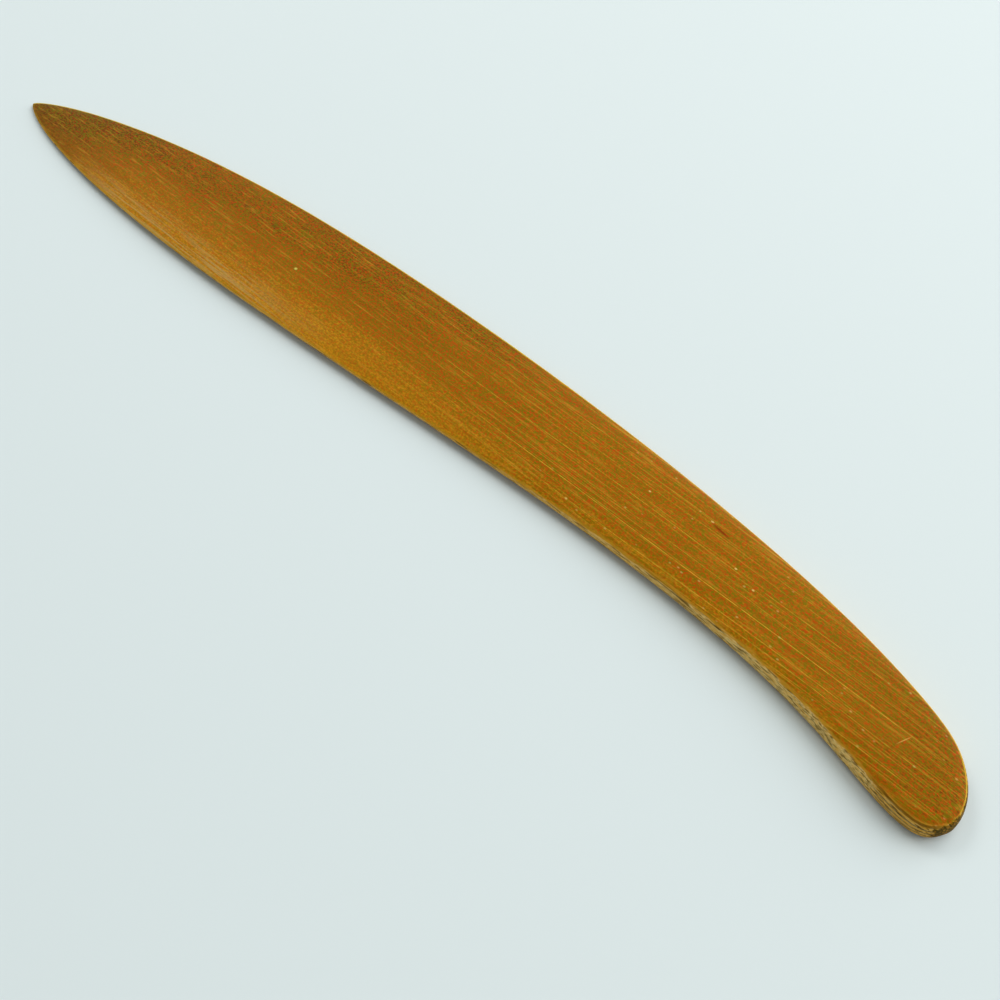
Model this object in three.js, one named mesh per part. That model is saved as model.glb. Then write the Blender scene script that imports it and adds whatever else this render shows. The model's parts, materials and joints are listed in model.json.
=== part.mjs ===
// Bamboo paper knife: blade, neck and handle carved from one strip of bamboo.
//
// Millimetres, +Z up. X runs from the tip to the butt along the fibres. The knife lies on the flat of
// its underside, and bends in plan, so that the handle drops to the near side (-Y). The origin is at
// the middle of its footprint, on the surface that it lies on.

import * as THREE from 'three';
import { mergeVertices } from 'three/addons/utils/BufferGeometryUtils.js';

const { clamp, degToRad, lerp, smoothstep } = THREE.MathUtils;

// Middle line, seen from above
const bladeLength = 161; // tip to the crest of the bend
const handleLength = 89; // crest of the bend to the butt
const bendHeight = 9.6; // crest above the tip
const buttDrop = 4.9; // butt below the tip
const bladeSweep = 110; // how far the tip's own direction holds before it turns level
const handleTurn = 19; // how far before the butt the crest's level direction gives way
const hookAngle = 25; // degrees that the butt turns down
const hookReach = 8; // how far the butt's own direction holds

// Outline, as widths across the middle line
const bladeWidth = 27.7; // at the belly, the widest place
const bellyFromTip = 93;
const pointFullness = 2.35; // how soon the point fills out to the belly
const pointSharpness = 0.7; // below 0.5 the point would be round, at 1 it would be a plain wedge
const handleWidth = 18.3;
const gripFromButt = 12; // where the handle has reached its own width and section
const farRounding = 14.3; // length of the rounding of the butt on the far side
const farFullness = 1.7; // 2 would be an ellipse, less is more pointed
const nearRounding = 27; // and on the near side
const nearFullness = 2.9;

// Section, as heights from the flat underside
const tipThickness = 1.2;
const bladeThickness = 3.8;
const handleThickness = 4.8;
const tipEdge = 0.6; // height of the worn wall that closes the edge
const bladeEdge = 0.9;
const handleEdge = 2.8;
const tipLift = 0.2; // how far the bevel of the underside lifts the edge
const bladeLift = 1.3;
const handleLift = 0.7;
const bladeBevel = 6; // width of the bevel of the underside
const handleBevel = 1.8;
const bladeCrown = { roundness: 2.2, softness: 1 }; // a lens, sloping all the way to the edge
const handleCrown = { roundness: 8, softness: 0.5 }; // a flat top with rounded shoulders
const neckFromTip = 120; // where the thin edge of the blade begins to grow into the side of the handle
const noseRounding = 0.2; // how far the top and bottom of the edge's wall stand back from its middle

// Fineness of the faceted surface
const stationCount = 64;
const crownSteps = [0, 0.4, 0.7, 0.88, 0.96, 1]; // from the middle of the top to the edge
const bevelSteps = [1, 0.5, 0]; // from the edge to the flat of the underside

const bambooMaterial = new THREE.MeshStandardMaterial({
  name: 'bamboo, oiled',
  color: 0xa96a16,
  roughness: 0.5,
  metalness: 0,
});

const middleLine = new THREE.CurvePath();
const tip = new THREE.Vector2(0, 0);
const crest = new THREE.Vector2(bladeLength, bendHeight);
const butt = new THREE.Vector2(bladeLength + handleLength, -buttDrop);
const endOfBladeSweep = new THREE.Vector2(bladeSweep, bendHeight);
const startOfTurn = new THREE.Vector2(butt.x - handleTurn, bendHeight);
const hookDirection = new THREE.Vector2(1, 0).rotateAround(new THREE.Vector2(), -degToRad(hookAngle));
const startOfHook = butt.clone().addScaledVector(hookDirection, -hookReach);
middleLine.add(new THREE.QuadraticBezierCurve(tip, endOfBladeSweep, crest));
middleLine.add(new THREE.CubicBezierCurve(crest, startOfTurn, startOfHook, butt));
const lineLength = middleLine.getLength();
const gripFromTip = lineLength - gripFromButt;

// The spokes of the surface start on the middle line, between these two places. Past them they fan
// out from the place itself, which carries the rounding of the edge round the point and the butt.
const pointCore = handleWidth / 4;
const buttCore = lineLength - handleWidth / 2;

function pointOnLine(distance) {
  return middleLine.getPointAt(clamp(distance / lineLength, 0, 1));
}

function acrossLine(distance) {
  const along = middleLine.getTangentAt(clamp(distance / lineLength, 0, 1));
  return new THREE.Vector2(-along.y, along.x);
}

/** Half of the width before the butt is rounded, at a distance from the tip. */
function halfWidth(distance) {
  if (distance < bellyFromTip) {
    const fromBelly = 1 - distance / bellyFromTip;
    return (bladeWidth / 2) * (1 - fromBelly ** pointFullness) ** pointSharpness;
  }
  const towardsGrip = smoothstep(distance, bellyFromTip, gripFromTip);
  return lerp(bladeWidth, handleWidth, towardsGrip) / 2;
}

/** Share of the half width that the rounding of the butt leaves, from 1 to 0 at the butt itself. */
function buttRounding(distance, rounding, fullness) {
  const into = clamp((distance - (lineLength - rounding)) / rounding, 0, 1);
  return (1 - into ** fullness) ** (1 / fullness);
}

/** The heights and shape of the section at a distance from the tip. */
function sectionAt(distance) {
  const fromTip = 1 - (1 - clamp(distance / bellyFromTip, 0, 1)) ** 2;
  const towardsGrip = smoothstep(distance, neckFromTip, gripFromTip);
  const grow = (atTip, onBlade, onHandle) => lerp(lerp(atTip, onBlade, fromTip), onHandle, towardsGrip);
  return {
    thickness: grow(tipThickness, bladeThickness, handleThickness),
    edge: grow(tipEdge, bladeEdge, handleEdge),
    lift: grow(tipLift, bladeLift, handleLift),
    bevel: lerp(bladeBevel, handleBevel, towardsGrip),
    roundness: lerp(bladeCrown.roundness, handleCrown.roundness, towardsGrip),
    softness: lerp(bladeCrown.softness, handleCrown.softness, towardsGrip),
  };
}

/** One spoke, from the middle of the top over the edge to the flat of the underside. */
function spoke(core, rim, section) {
  const reach = core.distanceTo(rim);
  const nose = Math.min(noseRounding, reach / 4);
  const bevel = Math.min(section.bevel, reach / 2);
  const at = (fromCore, height) => {
    const place = core.clone().lerp(rim, fromCore / reach);
    return new THREE.Vector3(place.x, place.y, height);
  };
  const edgeTop = section.lift + section.edge;
  const crown = crownSteps.map((step) => {
    const rise = (1 - step ** section.roundness) ** section.softness;
    return at(step * (reach - nose), lerp(edgeTop, section.thickness, rise));
  });
  const middleOfEdge = at(reach, section.lift + section.edge / 2);
  const underside = bevelSteps.map((step) => {
    return at(reach - nose - bevel * (1 - step), section.lift * step ** 2);
  });
  return [...crown, middleOfEdge, ...underside];
}

/** One section: the near spoke outwards in reverse, then the far spoke, sharing the middle of the top. */
function sectionLoop(distance) {
  const line = pointOnLine(distance);
  const across = acrossLine(distance);
  const core = pointOnLine(clamp(distance, pointCore, buttCore));
  const half = halfWidth(distance);
  const farHalf = half * buttRounding(distance, farRounding, farFullness);
  const nearHalf = half * buttRounding(distance, nearRounding, nearFullness);
  const section = sectionAt(distance);
  const far = spoke(core, line.clone().addScaledVector(across, farHalf), section);
  const near = spoke(core, line.clone().addScaledVector(across, -nearHalf), section);
  return [...near.reverse(), ...far.slice(1)];
}

/** Skins the sections with triangles. The end spokes close the surface, so it needs no caps. */
function carvedBody() {
  const loops = [];
  for (let i = 0; i <= stationCount; i += 1) {
    const distance = (lineLength * (1 - Math.cos((Math.PI * i) / stationCount))) / 2;
    loops.push(sectionLoop(distance));
  }
  const corners = [];
  for (let i = 0; i < stationCount; i += 1) {
    const count = loops[i].length;
    for (let k = 0; k < count; k += 1) {
      const next = (k + 1) % count;
      const [a, b, c, d] = [loops[i][k], loops[i][next], loops[i + 1][next], loops[i + 1][k]];
      corners.push(a, d, b, b, d, c);
    }
  }
  const loose = new THREE.BufferGeometry().setFromPoints(corners);
  const merged = mergeVertices(loose, 1e-4);
  const index = Array.from(merged.index.array);
  const kept = [];
  for (let i = 0; i < index.length; i += 3) {
    const [a, b, c] = index.slice(i, i + 3);
    if (a !== b && b !== c && c !== a) {
      kept.push(a, b, c);
    }
  }
  merged.setIndex(kept);
  merged.computeBoundingBox();
  const middle = merged.boundingBox.getCenter(new THREE.Vector3());
  merged.translate(-middle.x, -middle.y, -merged.boundingBox.min.z);
  merged.computeVertexNormals();
  return merged;
}

const knife = new THREE.Group();
const bambooBody = new THREE.Mesh(carvedBody(), bambooMaterial);
bambooBody.name = 'bamboo_body';
knife.add(bambooBody);

export default knife;
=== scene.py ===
"""Bamboo paper knife: the looks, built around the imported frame.

The knife is one strip of bamboo, carved to a leaf-shaped blade and a rounded handle and rubbed with
oil. Its solid comes from the frame. This script gives it a smooth, hand-sanded surface and a bamboo
finish whose fibres run through the whole strip, as they do in the real one.
"""

import json
import logging
from collections.abc import Sequence
from dataclasses import dataclass
from enum import Enum
from math import pi, radians

import bpy
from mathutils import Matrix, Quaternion, Vector
from mathutils.kdtree import KDTree

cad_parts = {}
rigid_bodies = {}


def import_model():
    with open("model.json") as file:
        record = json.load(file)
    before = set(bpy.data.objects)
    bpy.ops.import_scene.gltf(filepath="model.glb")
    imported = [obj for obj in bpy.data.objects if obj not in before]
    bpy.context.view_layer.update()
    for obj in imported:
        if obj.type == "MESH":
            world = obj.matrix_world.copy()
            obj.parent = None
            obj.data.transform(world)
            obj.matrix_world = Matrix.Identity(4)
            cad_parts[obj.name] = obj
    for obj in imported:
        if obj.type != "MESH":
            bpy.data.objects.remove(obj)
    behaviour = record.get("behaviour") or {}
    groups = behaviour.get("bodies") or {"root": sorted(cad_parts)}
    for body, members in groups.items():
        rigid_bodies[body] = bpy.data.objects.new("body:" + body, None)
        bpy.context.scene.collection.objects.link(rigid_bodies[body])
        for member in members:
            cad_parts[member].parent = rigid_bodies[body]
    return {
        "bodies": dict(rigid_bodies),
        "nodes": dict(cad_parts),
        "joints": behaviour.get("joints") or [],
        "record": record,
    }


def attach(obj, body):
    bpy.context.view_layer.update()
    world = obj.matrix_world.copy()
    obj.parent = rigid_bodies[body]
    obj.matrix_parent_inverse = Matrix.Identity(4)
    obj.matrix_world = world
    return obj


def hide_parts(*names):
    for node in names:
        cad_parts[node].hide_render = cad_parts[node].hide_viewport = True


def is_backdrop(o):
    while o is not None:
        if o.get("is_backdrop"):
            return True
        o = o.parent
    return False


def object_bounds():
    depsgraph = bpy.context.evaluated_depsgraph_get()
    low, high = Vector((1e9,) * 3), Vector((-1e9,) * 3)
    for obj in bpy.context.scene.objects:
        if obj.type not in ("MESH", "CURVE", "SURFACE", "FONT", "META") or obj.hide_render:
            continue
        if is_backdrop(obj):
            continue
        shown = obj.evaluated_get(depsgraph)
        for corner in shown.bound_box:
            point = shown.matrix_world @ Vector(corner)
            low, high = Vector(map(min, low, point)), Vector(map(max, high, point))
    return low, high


log = logging.getLogger("paper_knife")

MM = 0.001
ROOT_BODY = "root"

Socket = bpy.types.NodeSocket


def linear(hex_colour: str) -> tuple[float, float, float, float]:
    """Turns an sRGB hex colour into a linear one.

    Args:
        hex_colour: Six hex digits, such as "a56a17".

    Returns:
        Red, green, blue and alpha, each from 0 to 1.
    """
    shares = [int(hex_colour[i : i + 2], 16) / 255 for i in (0, 2, 4)]
    red, green, blue = [s / 12.92 if s <= 0.04045 else ((s + 0.055) / 1.055) ** 2.4 for s in shares]
    return red, green, blue, 1.0


def select_only(piece: bpy.types.Object) -> None:
    """Selects one object and nothing else, and makes it active.

    Args:
        piece: The object to work on.
    """
    bpy.ops.object.select_all(action="DESELECT")
    piece.select_set(True)
    bpy.context.view_layer.objects.active = piece


class Octaves(Enum):
    """How much fine detail a random pattern carries."""

    SMOOTH = 0.0
    CLOUDY = 2.0
    FIBROUS = 4.0


@dataclass(frozen=True)
class Fade:
    """A stretch over which something comes in.

    Attributes:
        none: Where there is nothing of it yet.
        full: Where it is there in full.
    """

    none: float
    full: float

    def share(self, value: float) -> float:
        """How much of it is there at a value, from 0 to 1.

        Args:
            value: A place or a size on the same scale as the two ends.

        Returns:
            The share.
        """
        return min(1.0, max(0.0, (value - self.none) / (self.full - self.none)))


class NodeBench:
    """A material's node tree, with the values that all of the knife's patterns read.

    Attributes:
        tree: The node tree.
        place: Coordinates on the knife in millimetres, with X along the fibres.
        x: Place along the fibres, in millimetres from the middle of the knife.
        y: Place across them, in millimetres from its middle.
        z: Height above the underside, in millimetres.
        side: How steeply the surface cuts down through the fibres, 1 on the flanks.
        end: How squarely it cuts the fibres off, 1 at the butt.
        lean: How far it leans to the near side.
        rim: How close it is to the wall of the edge, 1 on the wall itself.
    """

    def __init__(self, tree: bpy.types.NodeTree) -> None:
        """Adds what the patterns read to an empty node tree.

        Args:
            tree: The node tree.
        """
        self.tree = tree
        metres = self.add("TexCoord", "Object", {})
        self.place = self.add("Mapping", "Vector", {"Vector": metres, "Scale": (1 / MM,) * 3})
        self.x = self.add("SeparateXYZ", "X", {"Vector": self.place})
        self.y = self.x.node.outputs["Y"]
        self.z = self.x.node.outputs["Z"]
        self.side, self.end, self.lean, self.rim = [
            self.add("Attribute", "Fac", {}, attribute_name=name) for name in ("side", "end", "lean", "rim")
        ]

    def add(
        self, kind: str, output: str | int, inputs: dict[str | int, object], **settings: object
    ) -> Socket:
        """Adds a node with its settings and links.

        Math, MapRange and Mix nodes have unnamed or repeated inputs, so these go by number. In
        MapRange, 0 is the value, 1 and 2 are the range that it comes from (0 to 1 where not given)
        and 3 and 4 the range that it goes to (the same). In Mix, 0 is the share of the second
        colour, and 6 and 7 are the colours.

        Args:
            kind: The node's type, without the leading "ShaderNode".
            output: Name or number of the output to give back.
            inputs: For each input, by name or number, a socket to link or a value to set.
            settings: Values of the node's own properties.

        Returns:
            The output socket.
        """
        node = self.tree.nodes.new("ShaderNode" + kind)
        for name, value in settings.items():
            setattr(node, name, value)
        for name, source in inputs.items():
            if isinstance(source, Socket):
                self.tree.links.new(source, node.inputs[name])
            else:
                node.inputs[name].default_value = source
        return node.outputs[output]


@dataclass(frozen=True)
class Fibre:
    """One fibre bundle that shows as a pale line where the top is carved along it.

    Attributes:
        y: Place across the fibres, in millimetres from the middle of the knife.
        start: Where it comes to the surface, in millimetres from the middle of the knife.
        stop: Where it leaves the surface.
        strength: How clearly it shows, from 0 to 1.
    """

    y: float
    start: float
    stop: float
    strength: float


@dataclass(frozen=True)
class Mark:
    """A small mark that this strip of bamboo carries.

    Attributes:
        name: What the mark is. Not used.
        x: Place along the fibres, in millimetres from the middle of the knife.
        y: Place across them.
        length: Full length in millimetres.
        width: Full width in millimetres.
        turn: Angle from the fibres in degrees.
        colour: sRGB hex colour.
        strength: How much of the bamboo's own colour it covers, from 0 to 1.
    """

    name: str
    x: float
    y: float
    length: float
    width: float
    turn: float
    colour: str
    strength: float


@dataclass(frozen=True)
class OiledBamboo:
    """Bamboo, carbonised, sanded along the fibres and rubbed with oil.

    The eye sees a caramel ground mottled with rust and olive, straight streaks, thin pale lines where
    a fibre bundle is cut lengthwise, and small pale specks. The far half of the blade is darkened with
    painted shade, and the side leaning to the near side is lightened with painted light. The near half
    of the blade carries streaks of painted sheen, and the edges a pale painted highlight. The flank is
    raw and paler, and painted lighter still in place of fill light from the near side, with short
    dashes where the carving cuts the bundles at a slant, the near corner of the butt shows fine
    layers, and the butt dark end grain. Over it lies a satin, slightly golden sheen, duller where the
    fibres are cut.

    Colours are sRGB hex. Sizes are in millimetres, and places in millimetres from the middle of the
    knife. Each fade says where along the knife (or across it, for layers_across) a look comes in.
    """

    # The ground
    dark_flesh: str = "5e3203"
    mid_flesh: str = "935708"
    light_flesh: str = "c88812"
    middle_tone: float = 0.53
    rust: str = "b24006"
    olive: str = "6c6604"
    dark_tip: Fade = Fade(-80.0, -125.0)
    dark_butt: Fade = Fade(85.0, 122.0)
    blade: Fade = Fade(40.0, -20.0)

    # Fibre bundles and cut cells on the top
    pale_fibre: str = "e8ba38"
    fibre_width: float = 0.17
    fibre_wander: float = 0.7
    fibre_fade_in: float = 15.0
    fibre_fade_out: float = 3.0
    above_flank: Fade = Fade(2.0, 3.0)  # heights above the underside
    threads: Fade = Fade(-30.0, 60.0)
    speck: str = "e2bf6a"
    speck_spacing: tuple[float, float, float] = (3.0, 2.0, 2.0)
    specks: Fade = Fade(20.0, 50.0)

    # Painted sheen on the near half of the blade, and a painted highlight on the rim
    painted_sheen: str = "b8a468"
    sheen_from_tip: Fade = Fade(-105.0, -80.0)
    sheen_from_neck: Fade = Fade(-20.0, -50.0)
    rim_highlight: str = "e0c838"

    # Cut faces
    worn_edge: str = "cf942c"
    # Raw bamboo, made paler still with painted fill light from the near side
    raw_flank_and_fill_light: str = "efcd80"
    flank_dash: str = "6e480c"
    worn_flank: Fade = Fade(80.0, 20.0)
    layer_spacing: float = 0.748
    layers_along: Fade = Fade(109.0, 114.0)
    layers_across: Fade = Fade(-11.5, -13.5)
    end_grain: str = "2e2802"
    end_spot: str = "8a5c0c"
    pore: str = "3a1e04"
    pore_spacing: float = 0.8

    # Sheen
    roughness: float = 0.45
    cut_roughness: float = 0.35  # added on the flanks
    specular: float = 0.14
    sheen_tint: str = "ffd630"
    refraction: float = 1.5
    relief_height: float = 0.05

    fibres: tuple[Fibre, ...] = (
        Fibre(10.3, -15, 75, 0.40),
        Fibre(7.5, -5, 60, 0.40),
        Fibre(6.2, 5, 90, 0.50),
        Fibre(2.5, -10, 105, 0.65),
        Fibre(1.7, 35, 85, 0.40),
        Fibre(-0.7, 20, 118, 0.50),
        Fibre(-3.1, 15, 110, 0.95),
        Fibre(-5.9, 30, 105, 0.70),
        Fibre(-7.2, 60, 119, 0.65),
        Fibre(-8.7, 70, 112, 0.40),
        Fibre(-10.7, 88, 116, 0.70),
    )
    mark_height: float = 4.0  # of the middle of a mark, and how far it reaches down from there
    fleck: str = "4f3206"
    marks: tuple[Mark, ...] = (
        Mark("bruise", 64.4, 7.4, 4.6, 0.6, -8.0, "7c2000", 0.85),
        Mark("speck", 62.0, 8.0, 0.8, 0.4, 0.0, speck, 0.7),
        Mark("speck", 71.2, 2.8, 0.6, 0.4, 0.0, speck, 0.8),
        Mark("speck", 76.1, 1.3, 0.6, 0.4, 0.0, speck, 0.8),
        Mark("speck", 49.5, 5.4, 0.6, 0.4, 0.0, speck, 0.8),
        Mark("speck", 39.2, -6.1, 0.6, 0.4, 0.0, speck, 0.7),
        Mark("nick", -39.5, -1.6, 0.8, 0.7, 0.0, "c9c25a", 0.9),
        Mark("scratch", 111.0, -4.6, 3.0, 0.22, 68.0, "d6a44c", 0.7),
        Mark("fleck", -61.3, 4.0, 2.6, 0.8, 15.0, fleck, 0.55),
        Mark("fleck", -52.3, 3.8, 2.2, 0.8, -10.0, fleck, 0.45),
        Mark("fleck", -46.7, 8.4, 3.4, 0.9, 25.0, fleck, 0.4),
    )

    def grain(
        self, bench: NodeBench, along: float, across: float, octaves: Octaves, deep: float | None = None
    ) -> Socket:
        """A random pattern, drawn out along the fibres.

        Args:
            bench: The node tree.
            along: Size of one feature along the fibres, in millimetres.
            across: Its size across them.
            octaves: How much fine detail it carries.
            deep: Its size through the strip, the same as across them if not given.

        Returns:
            A value from 0 to 1, mostly near 0.5.
        """
        scale = (1 / along, 1 / across, 1 / (deep or across))
        cell = bench.add("Mapping", "Vector", {"Vector": bench.place, "Scale": scale})
        return bench.add(
            "TexNoise", "Fac", {"Vector": cell, "Scale": 1.0, "Detail": octaves.value, "Roughness": 0.6}
        )

    def summed(self, bench: NodeBench, base: float, parts: Sequence[tuple[Socket, float]]) -> Socket:
        """Adds values up by weight.

        Args:
            bench: The node tree.
            base: What the sum starts from.
            parts: Each value and its weight.

        Returns:
            The sum.
        """
        total: Socket | float = base
        for value, weight in parts:
            total = bench.add("Math", 0, {0: value, 1: weight, 2: total}, operation="MULTIPLY_ADD")
        return total

    def zones(self, bench: NodeBench) -> tuple[Socket, Socket, Socket, Socket]:
        """The zones of the knife that differ in tone.

        Args:
            bench: The node tree.

        Returns:
            The share, from 0 to 1, of the tip, the butt, the far half of the blade, which takes painted
            shade, and the near side, which takes painted light.
        """
        tip, butt, blade = [
            bench.add(
                "MapRange", 0, {0: bench.x, 1: fade.none, 2: fade.full}, interpolation_type="SMOOTHSTEP"
            )
            for fade in (self.dark_tip, self.dark_butt, self.blade)
        ]
        # Painted shade on the far part of the blade, which takes in more of the width towards the tip
        slant = bench.add("Math", 0, {0: bench.x, 1: -0.06, 2: bench.y}, operation="MULTIPLY_ADD")
        far = bench.add("MapRange", 0, {0: slant, 1: -2.0, 2: 9.0}, interpolation_type="SMOOTHSTEP")
        far = bench.add("Math", 0, {0: far, 1: blade}, operation="MULTIPLY")
        # Painted light on faces that lean to the near side, half as strong on the handle
        low = bench.add("Math", 0, {0: blade, 1: 0.08, 2: bench.lean}, operation="MULTIPLY_ADD")
        near = bench.add("MapRange", 0, {0: low, 1: 0.08, 2: 0.28}, interpolation_type="SMOOTHSTEP")
        held = bench.add("MapRange", 0, {0: blade, 3: 0.5, 4: 1.0})
        near = bench.add("Math", 0, {0: near, 1: held}, operation="MULTIPLY")
        return tip, butt, far, near

    def flesh(self, bench: NodeBench) -> Socket:
        """The caramel ground with its streaks and mottling, with painted shade on the far half of the blade
        and painted light on the near side.

        Args:
            bench: The node tree.

        Returns:
            The colour.
        """
        tip, butt, far, near = self.zones(bench)
        clouds = self.grain(bench, 16, 4.5, Octaves.FIBROUS)
        patches = bench.add("Math", 0, {0: clouds, 1: far}, operation="MULTIPLY")
        bands = self.grain(bench, 150, 5, Octaves.CLOUDY)
        streaks = self.grain(bench, 60, 0.7, Octaves.CLOUDY)
        fine_streaks = self.grain(bench, 30, 0.3, Octaves.CLOUDY)
        cells = self.grain(bench, 0.6, 0.4, Octaves.FIBROUS)
        patterns = ((bands, 0.3), (streaks, 0.2), (fine_streaks, 0.24), (cells, 1.0), (clouds, 0.2))
        # The far zone and its patches are painted shade, the near zone is painted light; tip and butt are
        # darker in tone
        shifts = ((tip, -0.65), (butt, -0.3), (far, -0.64), (patches, 0.52), (near, 0.3))
        # A pattern is 0.5 on average, so half its weight is taken off
        base = self.middle_tone - sum(weight for _, weight in patterns) / 2
        tone = self.summed(bench, base, (*patterns, *shifts))
        ramp = bench.add("ValToRGB", "Color", {"Fac": tone})
        stops = ramp.node.color_ramp.elements
        stops[0].color = linear(self.dark_flesh)
        stops[1].color = linear(self.light_flesh)
        stops.new(0.5).color = linear(self.mid_flesh)
        return self.with_mottling(bench, ramp, tip, near)

    def with_mottling(self, bench: NodeBench, colour: Socket, tip: Socket, near: Socket) -> Socket:
        """Mottles the ground with rust, less at the tip, and with olive, both less on the near side, which
        lightens it as part of the painted light there.

        Args:
            bench: The node tree.
            colour: The colour so far.
            tip: Share of the tip.
            near: Share of the near side.

        Returns:
            The colour with the mottling.
        """
        # Less mottling where the painted light of the near side lies
        less_on_lit_side = bench.add("MapRange", 0, {0: near, 3: 1.0, 4: 0.5})
        fired = bench.add("MapRange", 0, {0: tip, 3: 1.0, 4: 0.4})
        rusty = self.grain(bench, 0.55, 0.34, Octaves.CLOUDY)
        rusty = bench.add("MapRange", 0, {0: rusty, 1: 0.46, 2: 0.6, 3: 0.0, 4: 0.95})
        rusty = bench.add("Math", 0, {0: rusty, 1: fired}, operation="MULTIPLY")
        rusty = bench.add("Math", 0, {0: rusty, 1: less_on_lit_side}, operation="MULTIPLY")
        colour = bench.add("Mix", 2, {0: rusty, 6: colour, 7: linear(self.rust)}, data_type="RGBA")
        mossy = self.grain(bench, 0.5, 0.36, Octaves.CLOUDY, deep=0.6)
        mossy = bench.add("MapRange", 0, {0: mossy, 1: 0.46, 2: 0.6, 3: 0.0, 4: 0.85})
        mossy = bench.add("Math", 0, {0: mossy, 1: less_on_lit_side}, operation="MULTIPLY")
        return bench.add("Mix", 2, {0: mossy, 6: colour, 7: linear(self.olive)}, data_type="RGBA")

    def with_fibres(self, bench: NodeBench, colour: Socket) -> Socket:
        """Draws the pale fibre bundles of the top, and finer threads between them.

        Args:
            bench: The node tree.
            colour: The colour so far.

        Returns:
            The colour with the fibres.
        """
        wander = self.grain(bench, 40, 6, Octaves.SMOOTH)
        wander = bench.add(
            "Math", 0, {0: wander, 1: self.fibre_wander, 2: bench.y}, operation="MULTIPLY_ADD"
        )
        broken = self.grain(bench, 2.2, 0.8, Octaves.CLOUDY)
        broken = bench.add("MapRange", 0, {0: broken, 1: 0.35, 2: 0.6, 3: 0.25, 4: 1.0})
        top = bench.add("MapRange", 0, {0: bench.z, 1: self.above_flank.none, 2: self.above_flank.full})
        seen = bench.add("Math", 0, {0: broken, 1: top}, operation="MULTIPLY")
        shown: Socket | float = 0.0
        for fibre in self.fibres:
            middle = fibre.y + self.fibre_wander / 2
            rise = Fade(fibre.start - self.fibre_fade_in, fibre.start + self.fibre_fade_in)
            drop = Fade(fibre.stop + self.fibre_fade_out, fibre.stop - self.fibre_fade_out)
            away = bench.add("Math", 0, {0: wander, 1: middle}, operation="SUBTRACT")
            away = bench.add("Math", 0, {0: away}, operation="ABSOLUTE")
            line = bench.add("MapRange", 0, {0: away, 1: self.fibre_width / 2, 2: 0.0, 4: fibre.strength})
            begun = bench.add("MapRange", 0, {0: bench.x, 1: rise.none, 2: rise.full})
            ended = bench.add("MapRange", 0, {0: bench.x, 1: drop.none, 2: drop.full})
            here = bench.add("Math", 0, {0: begun, 1: ended}, operation="MULTIPLY")
            shown = bench.add("Math", 0, {0: line, 1: here, 2: shown}, operation="MULTIPLY_ADD")
        shown = bench.add("Math", 0, {0: shown, 1: seen}, operation="MULTIPLY")
        thread = self.grain(bench, 45, 0.17, Octaves.SMOOTH, deep=1.2)
        thread = bench.add("MapRange", 0, {0: thread, 1: 0.63, 2: 0.76, 3: 0.0, 4: 0.26})
        handle = bench.add(
            "MapRange", 0, {0: bench.x, 1: self.threads.none, 2: self.threads.full, 3: 0.15, 4: 1.0}
        )
        thread = bench.add("Math", 0, {0: thread, 1: handle}, operation="MULTIPLY")
        shown = bench.add("Math", 0, {0: shown, 1: thread}, operation="MAXIMUM")
        return bench.add("Mix", 2, {0: shown, 6: colour, 7: linear(self.pale_fibre)}, data_type="RGBA")

    def with_specks(self, bench: NodeBench, colour: Socket) -> Socket:
        """Scatters the small pale specks of cut cells over the handle.

        Args:
            bench: The node tree.
            colour: The colour so far.

        Returns:
            The colour with the specks.
        """
        scale = tuple(1 / spacing for spacing in self.speck_spacing)
        cell = bench.add("Mapping", "Vector", {"Vector": bench.place, "Scale": scale})
        away = bench.add("TexVoronoi", "Distance", {"Vector": cell, "Scale": 1.0})
        speck = bench.add("MapRange", 0, {0: away, 1: 0.12, 2: 0.05, 3: 0.0, 4: 0.35})
        handle = bench.add("MapRange", 0, {0: bench.x, 1: self.specks.none, 2: self.specks.full})
        speck = bench.add("Math", 0, {0: speck, 1: handle}, operation="MULTIPLY")
        return bench.add("Mix", 2, {0: speck, 6: colour, 7: linear(self.speck)}, data_type="RGBA")

    def with_painted_sheen_and_rim_highlight(self, bench: NodeBench, colour: Socket) -> Socket:
        """Paints streaks of sheen on the near half of the blade, and a pale highlight along the edges.

        Args:
            bench: The node tree.
            colour: The colour so far.

        Returns:
            The colour with the wear.
        """
        from_tip, from_neck = self.sheen_from_tip, self.sheen_from_neck
        begun = bench.add("MapRange", 0, {0: bench.x, 1: from_tip.none, 2: from_tip.full})
        ended = bench.add("MapRange", 0, {0: bench.x, 1: from_neck.none, 2: from_neck.full})
        low = bench.add("MapRange", 0, {0: bench.lean, 1: 0.1, 2: 0.2})
        here = bench.add("Math", 0, {0: begun, 1: ended}, operation="MULTIPLY")
        here = bench.add("Math", 0, {0: here, 1: low}, operation="MULTIPLY")
        # Streaks of painted sheen where the near half of the blade leans to the near side
        painted_sheen = self.grain(bench, 14, 0.4, Octaves.CLOUDY)
        painted_sheen = bench.add("MapRange", 0, {0: painted_sheen, 1: 0.44, 2: 0.6, 3: 0.0, 4: 0.42})
        painted_sheen = bench.add("Math", 0, {0: painted_sheen, 1: here}, operation="MULTIPLY")
        colour = bench.add("Mix", 2, {0: painted_sheen, 6: colour, 7: linear(self.painted_sheen)}, data_type="RGBA")
        # The painted rim highlight is weaker on the near edge, which leans away from the light
        rim_highlight_strength = bench.add("MapRange", 0, {0: bench.lean, 1: 0.02, 2: 0.1, 3: 1.0, 4: 0.2})
        rim = bench.add("MapRange", 0, {0: bench.rim, 1: 0.4, 2: 0.65, 3: 0.0, 4: 0.65})
        rim = bench.add("Math", 0, {0: rim, 1: rim_highlight_strength}, operation="MULTIPLY")
        return bench.add("Mix", 2, {0: rim, 6: colour, 7: linear(self.rim_highlight)}, data_type="RGBA")

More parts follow.
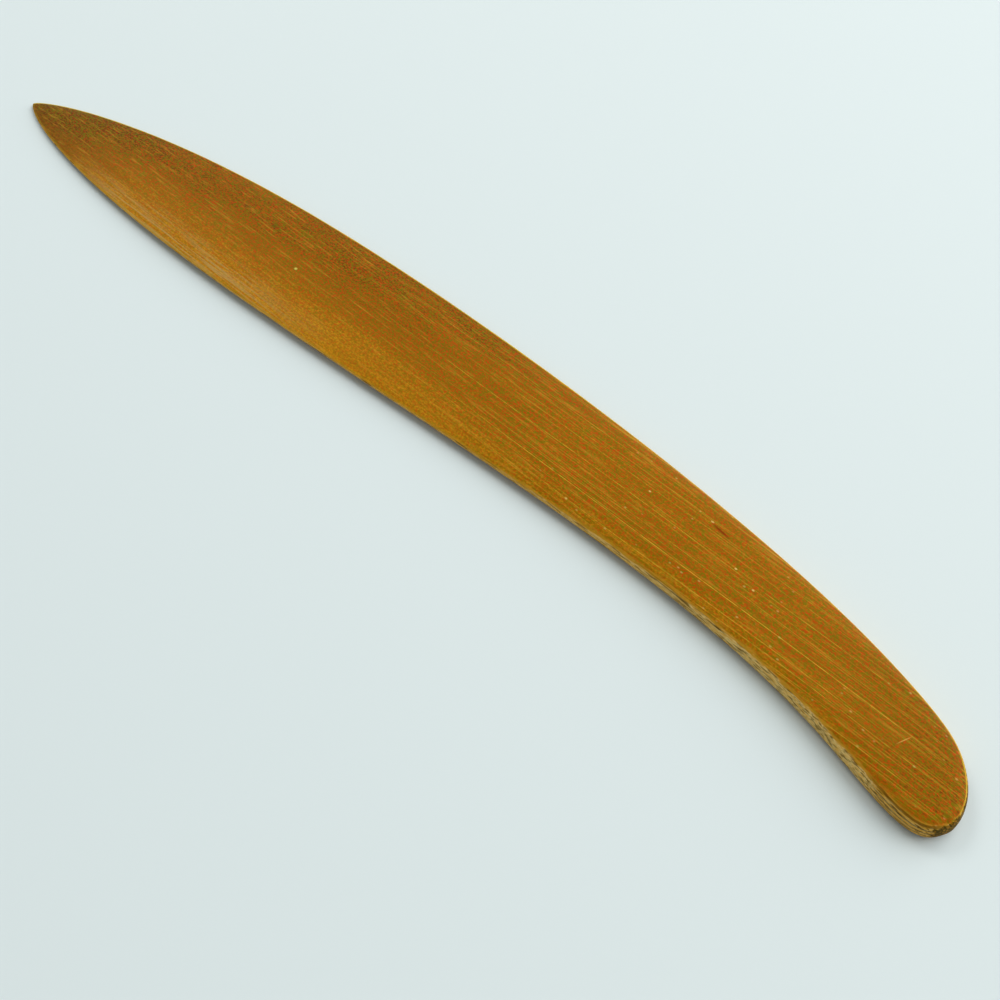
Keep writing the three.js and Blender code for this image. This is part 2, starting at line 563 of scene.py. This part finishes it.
    def with_flanks(self, bench: NodeBench, colour: Socket) -> Socket:
        """Lays the raw flanks, painted lighter in place of fill light from the near side, with a frayed
        shoulder, where the carving slants across the fibres.

        Args:
            bench: The node tree.
            colour: The colour so far.

        Returns:
            The colour with the flanks.
        """
        worn = linear(self.worn_edge)
        coarse = self.grain(bench, 8, 0.5, Octaves.FIBROUS, deep=0.4)
        fray = bench.add("Math", 0, {0: coarse, 1: 1.2, 2: bench.side}, operation="MULTIPLY_ADD")
        shoulder = bench.add("MapRange", 0, {0: fray, 1: 0.65, 2: 1.0, 3: 0.0, 4: 0.7})
        colour = bench.add("Mix", 2, {0: shoulder, 6: colour, 7: worn}, data_type="RGBA")
        bundle = self.grain(bench, 3.5, 0.32, Octaves.CLOUDY, deep=0.26)
        dash = bench.add("MapRange", 0, {0: bundle, 1: 0.5, 2: 0.42, 3: 0.0, 4: 0.85})
        tinted = bench.add("MapRange", 0, {0: bundle, 1: 0.52, 2: 0.57, 3: 0.0, 4: 0.7})
        rubbed_over = bench.add(
            "MapRange", 0, {0: bench.x, 1: self.worn_flank.none, 2: self.worn_flank.full, 3: 0.0, 4: 0.6}
        )
        # The pale flank colour is the raw bamboo plus painted fill light
        pale, dark = linear(self.raw_flank_and_fill_light), linear(self.flank_dash)
        raw_and_lit = bench.add("Mix", 2, {0: dash, 6: pale, 7: dark}, data_type="RGBA")
        raw_and_lit = bench.add("Mix", 2, {0: tinted, 6: raw_and_lit, 7: worn}, data_type="RGBA")
        raw_and_lit = bench.add("Mix", 2, {0: rubbed_over, 6: raw_and_lit, 7: worn}, data_type="RGBA")
        fray = bench.add("Math", 0, {0: coarse, 1: 2.0, 2: bench.side}, operation="MULTIPLY_ADD")
        flank = bench.add("MapRange", 0, {0: fray, 1: 1.5, 2: 1.8}, interpolation_type="SMOOTHSTEP")
        return bench.add("Mix", 2, {0: flank, 6: colour, 7: raw_and_lit}, data_type="RGBA")

    def with_layers(self, bench: NodeBench, colour: Socket) -> Socket:
        """Shows the fine layers of the bamboo at the near corner of the butt.

        Args:
            bench: The node tree.
            colour: The colour so far.

        Returns:
            The colour with the layers.
        """
        # At scale 1 the bands of this pattern are a tenth of pi apart
        scale = pi / 10 / self.layer_spacing
        layer = bench.add(
            "TexWave",
            "Fac",
            {"Vector": bench.place, "Scale": scale, "Distortion": 1.0},
            bands_direction="Z",
        )
        layer = bench.add("MapRange", 0, {0: layer, 1: 0.4, 2: 0.75})
        pale, dark = linear(self.worn_edge), linear(self.pore)
        layered = bench.add("Mix", 2, {0: layer, 6: pale, 7: dark}, data_type="RGBA")
        along, across = self.layers_along, self.layers_across
        corner = bench.add("MapRange", 0, {0: bench.x, 1: along.none, 2: along.full})
        inward = bench.add("MapRange", 0, {0: bench.y, 1: across.none, 2: across.full})
        edge = bench.add("MapRange", 0, {0: bench.side, 1: 0.0, 2: 0.2, 3: 0.0, 4: 0.6})
        corner = bench.add("Math", 0, {0: corner, 1: inward}, operation="MULTIPLY")
        corner = bench.add("Math", 0, {0: corner, 1: edge}, operation="MULTIPLY")
        return bench.add("Mix", 2, {0: corner, 6: colour, 7: layered}, data_type="RGBA")

    def with_end_grain(self, bench: NodeBench, colour: Socket) -> Socket:
        """Lays the dark end grain with its lighter bundles where the fibres are cut off.

        Args:
            bench: The node tree.
            colour: The colour so far.

        Returns:
            The colour with the end grain.
        """
        blotch = self.grain(bench, 1.2, 0.6, Octaves.FIBROUS)
        fray = bench.add("Math", 0, {0: blotch, 1: 1.6, 2: bench.end}, operation="MULTIPLY_ADD")
        cut = bench.add("MapRange", 0, {0: fray, 1: 1.3, 2: 1.6, 3: 0.0, 4: 0.9})
        spot = self.grain(bench, 0.8, 0.4, Octaves.CLOUDY)
        spot = bench.add("MapRange", 0, {0: spot, 1: 0.5, 2: 0.6})
        ground, light = linear(self.end_grain), linear(self.end_spot)
        grain = bench.add("Mix", 2, {0: spot, 6: ground, 7: light}, data_type="RGBA")
        return bench.add("Mix", 2, {0: cut, 6: colour, 7: grain}, data_type="RGBA")

    def with_pores(self, bench: NodeBench, colour: Socket) -> Socket:
        """Dots the cut faces with the vessels of the fibre bundles.

        Args:
            bench: The node tree.
            colour: The colour so far.

        Returns:
            The colour with the pores.
        """
        section = bench.add("CombineXYZ", 0, {0: bench.y, 1: bench.z})
        away = bench.add(
            "TexVoronoi",
            "Distance",
            {"Vector": section, "Scale": 1 / self.pore_spacing},
            voronoi_dimensions="2D",
        )
        hole = bench.add("MapRange", 0, {0: away, 1: 0.16, 2: 0.1, 3: 0.0, 4: 0.8})
        shown = bench.add("Math", 0, {0: hole, 1: bench.side}, operation="MULTIPLY")
        return bench.add("Mix", 2, {0: shown, 6: colour, 7: linear(self.pore)}, data_type="RGBA")

    def with_mark(self, bench: NodeBench, colour: Socket, mark: Mark) -> Socket:
        """Lays one mark over the colour.

        Args:
            bench: The node tree.
            colour: The colour so far.
            mark: The mark to add.

        Returns:
            The colour with the mark.
        """
        own = bench.add(
            "Mapping",
            "Vector",
            {
                "Vector": bench.place,
                "Location": (mark.x, mark.y, self.mark_height),
                "Rotation": (0, 0, radians(mark.turn)),
                "Scale": (mark.length / 2, mark.width / 2, self.mark_height),
            },
            vector_type="TEXTURE",
        )
        reach = bench.add("VectorMath", "Value", {0: own}, operation="LENGTH")
        share = bench.add("MapRange", 0, {0: reach, 1: 1.2, 2: 0.4, 3: 0.0, 4: mark.strength})
        return bench.add("Mix", 2, {0: share, 6: colour, 7: linear(mark.colour)}, data_type="RGBA")

    def relief(self, bench: NodeBench) -> Socket:
        """The fibres as they stand proud after sanding.

        Args:
            bench: The node tree.

        Returns:
            The surface's direction.
        """
        ridges = self.grain(bench, 30, 0.3, Octaves.CLOUDY)
        hairs = self.grain(bench, 8, 0.15, Octaves.CLOUDY)
        tears = self.grain(bench, 1.2, 0.35, Octaves.FIBROUS)
        height = self.summed(bench, 0.0, ((ridges, 0.5), (hairs, 0.3), (tears, 0.3)))
        distance = self.relief_height * MM
        return bench.add("Bump", "Normal", {"Height": height, "Distance": distance, "Strength": 1.0})

    def gloss(self, bench: NodeBench) -> Socket:
        """The oil's sheen: uneven along the fibres, and dull where they are cut.

        Args:
            bench: The node tree.

        Returns:
            The roughness.
        """
        uneven = self.grain(bench, 20, 0.4, Octaves.CLOUDY)
        uneven = bench.add("MapRange", 0, {0: uneven, 1: 0.3, 2: 0.7, 3: -0.07, 4: 0.1})
        oiled = bench.add("Math", 0, {0: uneven, 1: self.roughness}, operation="ADD")
        return bench.add(
            "Math",
            0,
            {0: bench.side, 1: self.cut_roughness, 2: oiled},
            operation="MULTIPLY_ADD",
            use_clamp=True,
        )

    def material(self) -> bpy.types.Material:
        """Builds the finish.

        Returns:
            The material, for a piece whose attributes say how its surface lies to the fibres.
        """
        bamboo = bpy.data.materials.new("bamboo, carbonised, sanded and oiled")
        bamboo.use_nodes = True
        bamboo.node_tree.nodes.clear()
        bench = NodeBench(bamboo.node_tree)
        colour = self.flesh(bench)
        colour = self.with_fibres(bench, colour)
        colour = self.with_specks(bench, colour)
        colour = self.with_painted_sheen_and_rim_highlight(bench, colour)
        colour = self.with_flanks(bench, colour)
        colour = self.with_layers(bench, colour)
        colour = self.with_end_grain(bench, colour)
        colour = self.with_pores(bench, colour)
        for mark in self.marks:
            colour = self.with_mark(bench, colour, mark)
        shader = bench.add(
            "BsdfPrincipled",
            "BSDF",
            {
                "Base Color": colour,
                "Roughness": self.gloss(bench),
                "Specular IOR Level": self.specular,
                "Specular Tint": linear(self.sheen_tint),
                "IOR": self.refraction,
                "Normal": self.relief(bench),
            },
        )
        bench.tree.links.new(shader, bench.tree.nodes.new("ShaderNodeOutputMaterial").inputs["Surface"])
        return bamboo


@dataclass
class CarvedKnife:
    """The whole knife: one strip of bamboo, smoothed and finished.

    Attributes:
        finish: The bamboo finish.
        node: The frame's node that it stands for.
        slot: The material slot of that node. Not used.
        merge_gap: How close two corners of the solid's triangles are joined, in millimetres.
        subdivisions: How often each face of the carved solid is split.
        wave_depth: Depth of the waves that sanding by hand leaves, in millimetres.
        wave_length: Length of those waves in millimetres.
        flank: Upward share of the normal over which the surface turns from top to flank.
        cut_end: Share of the normal along the fibres over which it turns to end grain.
        wall_slope: Upward share of the normal below which it is the edge's wall.
        rim: Distance in from that wall over which the edge carries the painted rim highlight, in
            millimetres.
    """

    finish: OiledBamboo
    node: str = "bamboo_body"
    slot: str = "bamboo"
    merge_gap: float = 0.001
    subdivisions: int = 3
    wave_depth: float = 0.07
    wave_length: float = 12.0
    flank: Fade = Fade(0.96, 0.36)
    cut_end: Fade = Fade(0.3, 0.8)
    wall_slope: float = 0.6
    rim: Fade = Fade(0.9, 0.0)

    def copy_solid(self, solid: bpy.types.Object) -> bpy.types.Object:
        """Copies the frame's solid and joins its loose triangles into one skin of four-sided faces.

        Args:
            solid: The frame's object, which stays as it is.

        Returns:
            The copy.
        """
        select_only(solid)
        bpy.ops.object.duplicate()
        body = bpy.context.active_object
        body.name = body.data.name = "carved_bamboo_knife"
        for tag in list(body.keys()):
            del body[tag]
        bpy.ops.object.parent_clear(type="CLEAR_KEEP_TRANSFORM")
        bpy.ops.object.mode_set(mode="EDIT")
        bpy.ops.mesh.select_all(action="SELECT")
        bpy.ops.mesh.remove_doubles(threshold=self.merge_gap * MM)
        bpy.ops.mesh.tris_convert_to_quads(face_threshold=pi, shape_threshold=pi)
        bpy.ops.mesh.normals_make_consistent(inside=False)
        bpy.ops.object.mode_set(mode="OBJECT")
        return body

    def smooth(self, body: bpy.types.Object) -> None:
        """Rounds the facets off and sinks the shallow waves that hand sanding leaves.

        Args:
            body: The copied solid.
        """
        select_only(body)
        rounding = body.modifiers.new("rounding", "SUBSURF")
        rounding.levels = rounding.render_levels = self.subdivisions
        bpy.ops.object.modifier_apply(modifier=rounding.name)
        waves = body.modifiers.new("sanding_waves", "DISPLACE")
        waves.texture = bpy.data.textures.new("sanding_waves", "CLOUDS")
        waves.texture.noise_scale = self.wave_length * MM
        waves.texture_coords = "LOCAL"
        # At this middle level the waves only sink, so the knife stays inside its solid
        waves.mid_level = 1.0
        waves.strength = self.wave_depth * MM
        bpy.ops.object.modifier_apply(modifier=waves.name)
        bpy.ops.object.shade_smooth()

    def mark_faces(self, body: bpy.types.Object) -> None:
        """Stores how the surface lies to the fibres: its flanks, end grain, near-side lean and rim.

        Args:
            body: The smoothed knife.
        """
        mesh = body.data
        normals = [normal.vector.copy() for normal in mesh.vertex_normals]
        wall = KDTree(len(normals))
        for vertex, normal in zip(mesh.vertices, normals):
            if abs(normal.z) < self.wall_slope:
                wall.insert(vertex.co, vertex.index)
        wall.balance()
        from_wall = [wall.find(vertex.co)[2] / MM for vertex in mesh.vertices]
        marks = {
            "side": [self.flank.share(abs(normal.z)) for normal in normals],
            "end": [self.cut_end.share(normal.x) for normal in normals],
            "lean": [max(0.0, -normal.y) for normal in normals],
            "rim": [self.rim.share(distance) for distance in from_wall],
        }
        for name, shares in marks.items():
            mesh.attributes.new(name, "FLOAT", "POINT").data.foreach_set("value", shares)

    def build(self, frame: dict) -> bpy.types.Object:
        """Makes the knife and fastens it to the frame.

        Args:
            frame: The loaded frame.

        Returns:
            The finished piece.
        """
        body = self.copy_solid(frame["nodes"][self.node])
        self.smooth(body)
        self.mark_faces(body)
        body.data.materials.clear()
        body.data.materials.append(self.finish.material())
        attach(body, ROOT_BODY)
        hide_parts(self.node)
        return body


@dataclass(frozen=True)
class PaleTable:
    """A plain pale floor of uncoated paper: matt, with no highlight, so only soft shadows show on it.

    Attributes:
        colour: sRGB hex colour.
        size: Length of its sides in metres, so large that its edge is out of sight.
        roughness: How matt it is.
        specular: How much it mirrors.
    """

    colour: str = "d9e1e0"
    size: float = 30.0
    roughness: float = 0.9
    specular: float = 0.2

    def build(self, height: float) -> bpy.types.Object:
        """Lays the floor.

        Args:
            height: Where its surface lies, in metres.

        Returns:
            The floor.
        """
        bpy.ops.object.select_all(action="DESELECT")
        bpy.ops.mesh.primitive_plane_add(size=self.size, location=(0, 0, height))
        floor = bpy.context.active_object
        floor.name = "table"
        bpy.ops.object.transform_apply(location=True)
        paper = bpy.data.materials.new("paper, matt, uncoated")
        paper.use_nodes = True
        shader = paper.node_tree.nodes["Principled BSDF"]
        shader.inputs["Base Color"].default_value = linear(self.colour)
        shader.inputs["Roughness"].default_value = self.roughness
        shader.inputs["Specular IOR Level"].default_value = self.specular
        floor.data.materials.append(paper)
        floor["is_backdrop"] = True
        return floor


@dataclass(frozen=True)
class SoftPanel:
    """A square soft light that points at the knife.

    Attributes:
        name: What it is called.
        turn: Degrees from +Y towards +X, seen from the knife.
        lift: Degrees above the table.
        away: Metres from the knife.
        size: Length of its sides in metres.
        glow: Its brightness, as the radiance of its face.
    """

    name: str
    turn: float
    lift: float
    away: float
    size: float
    glow: float

    def build(self) -> bpy.types.Object:
        """Hangs the panel.

        Returns:
            The light.
        """
        outward = Quaternion((0, 0, 1), -radians(self.turn)) @ Quaternion((1, 0, 0), radians(self.lift))
        place = outward @ Vector((0, self.away, 0))
        bpy.ops.object.light_add(type="AREA", location=place)
        panel = bpy.context.active_object
        panel.name = self.name
        panel.data.shape = "SQUARE"
        panel.data.size = self.size
        panel.data.energy = pi * self.size**2 * self.glow
        panel.rotation_euler = (-place).to_track_quat("-Z", "Y").to_euler()
        return panel


@dataclass(frozen=True)
class PaleRoom:
    """The room's own light, which fills the shadows.

    Attributes:
        colour: sRGB hex colour.
        glow: Its strength.
    """

    colour: str = "e9f3f5"
    glow: float = 0.45

    def build(self) -> None:
        """Fills the room."""
        room = bpy.data.worlds.new("pale_room")
        room.use_nodes = True
        background = room.node_tree.nodes["Background"]
        background.inputs["Color"].default_value = linear(self.colour)
        background.inputs["Strength"].default_value = self.glow
        bpy.context.scene.world = room


@dataclass(frozen=True)
class TableCamera:
    """A hand-held camera above the butt, looking along the knife to its tip.

    Attributes:
        place: Where it is, in millimetres from the frame's origin.
        heading: Degrees that it is turned left from +Y.
        pitch: Degrees that it looks down.
        roll: Degrees that it leans left.
        lens: Focal length in millimetres.
        sensor: Width of its sensor in millimetres.
        near_clip: Nearest distance that it sees, in metres.
        far_clip: Furthest distance that it sees, in metres.
    """

    place: tuple[float, float, float] = (123.9, -120.4, 201.95)
    heading: float = 41.39
    pitch: float = 54.65
    roll: float = 2.26
    lens: float = 48.06
    sensor: float = 36.0
    near_clip: float = 0.01
    far_clip: float = 20.0

    def build(self) -> bpy.types.Object:
        """Sets the camera up and makes it the scene's.

        Returns:
            The camera.
        """
        bpy.ops.object.camera_add(location=Vector(self.place) * MM)
        camera = bpy.context.active_object
        camera.name = "table_camera"
        camera.rotation_mode = "QUATERNION"
        heading = Quaternion((0, 0, 1), radians(self.heading))
        tilt = Quaternion((1, 0, 0), radians(90 - self.pitch))
        roll = Quaternion((0, 0, 1), radians(self.roll))
        camera.rotation_quaternion = heading @ tilt @ roll
        camera.data.lens = self.lens
        camera.data.sensor_width = self.sensor
        camera.data.clip_start = self.near_clip
        camera.data.clip_end = self.far_clip
        bpy.context.scene.camera = camera
        return camera


def corners(box: tuple[Vector, Vector]) -> list[list[float]]:
    """Turns a box's two corners into plain lists of numbers."""
    return [list(corner) for corner in box]


def main() -> None:
    """Builds the scene in order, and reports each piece."""
    logging.basicConfig(level=logging.INFO, format="%(name)s: %(message)s")
    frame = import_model()
    frame_box = corners(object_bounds())
    bpy.context.scene.view_settings.view_transform = "Standard"
    PaleRoom().build()
    pieces = (
        TableCamera().build(),
        SoftPanel("window", turn=28, lift=40, away=1.2, size=1.6, glow=2.3).build(),
        SoftPanel("lamp", turn=-79, lift=50, away=1.0, size=0.35, glow=5.0).build(),
        PaleTable().build(height=frame_box[0][2]),
        CarvedKnife(OiledBamboo()).build(frame),
    )
    for piece in pieces:
        log.info("%s is in place", piece.name)


if __name__ == "__main__":
    main()
